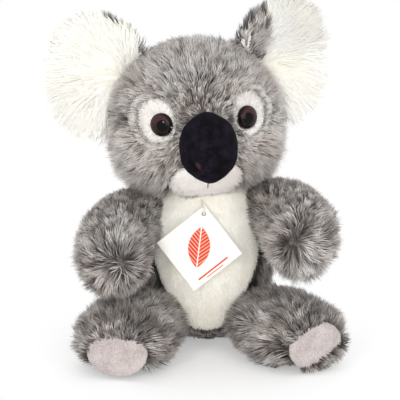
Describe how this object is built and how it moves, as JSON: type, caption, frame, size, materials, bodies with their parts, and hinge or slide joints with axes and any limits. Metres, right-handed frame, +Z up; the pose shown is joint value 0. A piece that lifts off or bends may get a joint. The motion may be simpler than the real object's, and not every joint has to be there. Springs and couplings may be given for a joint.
{
  "type": "plush koala",
  "caption": "seated stuffed koala in grey and white plush, with jointed head, ears, arms and legs, domed eyes, a big velour nose and a plain hang tag",
  "frame": {"origin": "the middle of the flat face that the torso sits on", "axes": "+Z up, the toy faces -Y, its own left is +X"},
  "size_m": [0.1768, 0.131, 0.2106],
  "materials": {
    "grey_plush": "long pile tipped with silver over a dark undercoat",
    "ivory_plush": "short dense ivory pile",
    "white_plush": "short white pile",
    "long_white_plush": "very long soft white pile",
    "fibre_fill": "loose polyester fibre",
    "pouch_cloth": "plain woven",
    "seam_thread": "matte",
    "mouth_thread": "matte",
    "nose_velour": "matte napped velour",
    "eye_plastic": "gloss",
    "washer_plastic": "matte",
    "sole_suede": "matte suede with a short nap",
    "tag_card": "smooth white card",
    "tag_loop": "satin"
  },
  "bodies": {
    "torso": {"torso_skin": "grey_plush", "belly_panel": "ivory_plush", "torso_fill": "fibre_fill", "pellet_pouch": "pouch_cloth", "closing_stitch": "seam_thread"},
    "neck": {"neck_fill": "fibre_fill"},
    "head": {"head_skin": "grey_plush", "left_eye_patch": "white_plush", "right_eye_patch": "white_plush", "chin_panel": "white_plush", "head_fill": "fibre_fill", "nose_cover": "nose_velour", "nose_fill": "fibre_fill", "mouth_stitch": "mouth_thread", "left_eye": "eye_plastic", "right_eye": "eye_plastic", "left_eye_washer": "washer_plastic", "right_eye_washer": "washer_plastic"},
    "left_ear": {"left_ear_front": "long_white_plush", "left_ear_back": "grey_plush"},
    "right_ear": {"right_ear_front": "long_white_plush", "right_ear_back": "grey_plush"},
    "left_arm": {"left_arm_skin": "grey_plush", "left_arm_fill": "fibre_fill"},
    "right_arm": {"right_arm_skin": "grey_plush", "right_arm_fill": "fibre_fill"},
    "left_leg": {"left_leg_skin": "grey_plush", "left_leg_fill": "fibre_fill", "left_sole": "sole_suede"},
    "right_leg": {"right_leg_skin": "grey_plush", "right_leg_fill": "fibre_fill", "right_sole": "sole_suede"},
    "tag": {"tag_card": "tag_card", "tag_loop": "tag_loop"}
  },
  "joints": [
    {"name": "head_turn", "type": "hinge", "parent": "torso", "child": "neck", "pos_m": [0, 0, 0.077], "axis": [0, 0, 1], "range_deg": [-30, 30]},
    {"name": "head_nod", "type": "hinge", "parent": "neck", "child": "head", "pos_m": [0, 0, 0.077], "axis": [0.9903, 0.1392, 0], "range_deg": [-12, 3]},
    {"name": "left_ear_flop", "type": "hinge", "parent": "head", "child": "left_ear", "pos_m": [0.0347, 0.00806, 0.17379], "axis": [-0.0663, 0, 0.9978], "range_deg": [-20, 20]},
    {"name": "right_ear_flop", "type": "hinge", "parent": "head", "child": "right_ear", "pos_m": [-0.05348, -0.00436, 0.16794], "axis": [-0.0663, 0, 0.9978], "range_deg": [-20, 20]},
    {"name": "left_shoulder", "type": "hinge", "parent": "torso", "child": "left_arm", "pos_m": [0.037, -0.003, 0.083], "axis": [-0.2005, -0.3008, 0.9324], "range_deg": [0, 40]},
    {"name": "right_shoulder", "type": "hinge", "parent": "torso", "child": "right_arm", "pos_m": [-0.037, -0.003, 0.0785], "axis": [-0.2005, 0.3008, -0.9324], "range_deg": [0, 40]},
    {"name": "left_hip", "type": "hinge", "parent": "torso", "child": "left_leg", "pos_m": [0.033, -0.023, 0.021], "axis": [0.8548, 0.519, 0], "range_deg": [0, 50]},
    {"name": "right_hip", "type": "hinge", "parent": "torso", "child": "right_leg", "pos_m": [-0.033, -0.023, 0.021], "axis": [0.9625, -0.2711, 0], "range_deg": [0, 50]},
    {"name": "tag_swing", "type": "hinge", "parent": "torso", "child": "tag", "pos_m": [-0.003, -0.02828, 0.094], "axis": [-1, 0, 0], "range_deg": [0, 25]}
  ]
}
